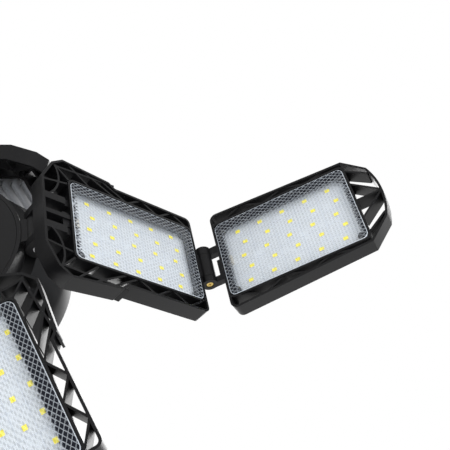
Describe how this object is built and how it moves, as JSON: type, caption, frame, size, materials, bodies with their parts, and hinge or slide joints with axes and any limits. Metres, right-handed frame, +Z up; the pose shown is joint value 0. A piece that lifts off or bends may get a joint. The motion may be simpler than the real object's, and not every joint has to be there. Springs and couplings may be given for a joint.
{
  "type": "deformable garage light",
  "caption": "Screw-base ceiling light with hinged arms round a hub; each arm is two folding black lattice-framed light panels under clear lenses.",
  "frame": {"origin": "on the screw base's axis, at the middle of the screw shell's plain collar", "axes": "+Z up along the screw base, towards the lamp holder; +X along arm 1; the light shines towards -Z when the arms lie flat"},
  "size_m": [0.5238, 0.4825, 0.2441],
  "materials": {
    "black_plastic": "moulded black, slightly glossy",
    "clear_lens": "clear moulded plastic with a fine prism pattern",
    "white_board": "white solder mask",
    "heat_plate": "plain extruded",
    "steel_screw": "plated",
    "brass_screw": "yellow plated",
    "base_shell": "bright rolled sheet",
    "base_insulator": "moulded",
    "base_contact": "plain",
    "circuit_board": "green solder mask",
    "driver_parts": "moulded and wound",
    "wire": "insulated"
  },
  "bodies": {
    "hub": {"hub_housing": "black_plastic", "hub_front_cover": "black_plastic", "hub_screws": "steel_screw", "hub_hinge_screws": "steel_screw", "driver_board": "circuit_board", "driver_parts": "driver_parts", "feed_wires": "wire", "base_shell": "base_shell", "base_insulator": "base_insulator", "base_contact": "base_contact"},
    "inner_arm_1": {"inner_frame_1": "black_plastic", "inner_lens_1": "clear_lens", "inner_led_board_1": "white_board", "inner_heat_plate_1": "heat_plate", "inner_plate_screws_1": "steel_screw"},
    "outer_arm_1": {"outer_frame_1": "black_plastic", "outer_lens_1": "clear_lens", "outer_led_board_1": "white_board", "outer_heat_plate_1": "heat_plate", "outer_fasteners_1": "brass_screw"},
    "inner_arm_2": {"inner_frame_2": "black_plastic", "inner_lens_2": "clear_lens", "inner_led_board_2": "white_board", "inner_heat_plate_2": "heat_plate", "inner_plate_screws_2": "steel_screw"},
    "outer_arm_2": {"outer_frame_2": "black_plastic", "outer_lens_2": "clear_lens", "outer_led_board_2": "white_board", "outer_heat_plate_2": "heat_plate", "outer_fasteners_2": "brass_screw"},
    "inner_arm_3": {"inner_frame_3": "black_plastic", "inner_lens_3": "clear_lens", "inner_led_board_3": "white_board", "inner_heat_plate_3": "heat_plate", "inner_plate_screws_3": "steel_screw"},
    "outer_arm_3": {"outer_frame_3": "black_plastic", "outer_lens_3": "clear_lens", "outer_led_board_3": "white_board", "outer_heat_plate_3": "heat_plate", "outer_fasteners_3": "brass_screw"},
    "inner_arm_4": {"inner_frame_4": "black_plastic", "inner_lens_4": "clear_lens", "inner_led_board_4": "white_board", "inner_heat_plate_4": "heat_plate", "inner_plate_screws_4": "steel_screw"},
    "outer_arm_4": {"outer_frame_4": "black_plastic", "outer_lens_4": "clear_lens", "outer_led_board_4": "white_board", "outer_heat_plate_4": "heat_plate", "outer_fasteners_4": "brass_screw"},
    "inner_arm_5": {"inner_frame_5": "black_plastic", "inner_lens_5": "clear_lens", "inner_led_board_5": "white_board", "inner_heat_plate_5": "heat_plate", "inner_plate_screws_5": "steel_screw"},
    "outer_arm_5": {"outer_frame_5": "black_plastic", "outer_lens_5": "clear_lens", "outer_led_board_5": "white_board", "outer_heat_plate_5": "heat_plate", "outer_fasteners_5": "brass_screw"}
  },
  "joints": [
    {"name": "hub_hinge_1", "type": "hinge", "parent": "hub", "child": "inner_arm_1", "pos_m": [0.0606, 0, -0.12082], "axis": [0, -1, 0], "range_deg": [-47.5, 42.5]},
    {"name": "fold_hinge_1", "type": "hinge", "parent": "inner_arm_1", "child": "outer_arm_1", "pos_m": [0.15348, 0, -0.04832], "axis": [0, 1, 0], "range_deg": [-155.5, 84.5]},
    {"name": "hub_hinge_2", "type": "hinge", "parent": "hub", "child": "inner_arm_2", "pos_m": [0.01873, 0.05763, -0.12082], "axis": [0.9511, -0.309, 0], "range_deg": [-3, 87]},
    {"name": "fold_hinge_2", "type": "hinge", "parent": "inner_arm_2", "child": "outer_arm_2", "pos_m": [0.0549, 0.16897, -0.13421], "axis": [-0.9511, 0.309, 0], "range_deg": [-90, 150]},
    {"name": "hub_hinge_3", "type": "hinge", "parent": "hub", "child": "inner_arm_3", "pos_m": [-0.04903, 0.03562, -0.12082], "axis": [0.5878, 0.809, 0], "range_deg": [-35, 55]},
    {"name": "fold_hinge_3", "type": "hinge", "parent": "inner_arm_3", "child": "outer_arm_3", "pos_m": [-0.13508, 0.09814, -0.07014], "axis": [-0.5878, -0.809, 0], "range_deg": [-125, 115]},
    {"name": "hub_hinge_4", "type": "hinge", "parent": "hub", "child": "inner_arm_4", "pos_m": [-0.04903, -0.03562, -0.12082], "axis": [-0.5878, 0.809, 0], "range_deg": [-35, 55]},
    {"name": "fold_hinge_4", "type": "hinge", "parent": "inner_arm_4", "child": "outer_arm_4", "pos_m": [-0.13508, -0.09814, -0.07014], "axis": [0.5878, -0.809, 0], "range_deg": [-125, 115]},
    {"name": "hub_hinge_5", "type": "hinge", "parent": "hub", "child": "inner_arm_5", "pos_m": [0.01873, -0.05763, -0.12082], "axis": [-0.9511, -0.309, 0], "range_deg": [-84, 6]},
    {"name": "fold_hinge_5", "type": "hinge", "parent": "inner_arm_5", "child": "outer_arm_5", "pos_m": [0.02847, -0.08763, -0.0073], "axis": [0.9511, 0.309, 0], "range_deg": [-95, 120]}
  ]
}
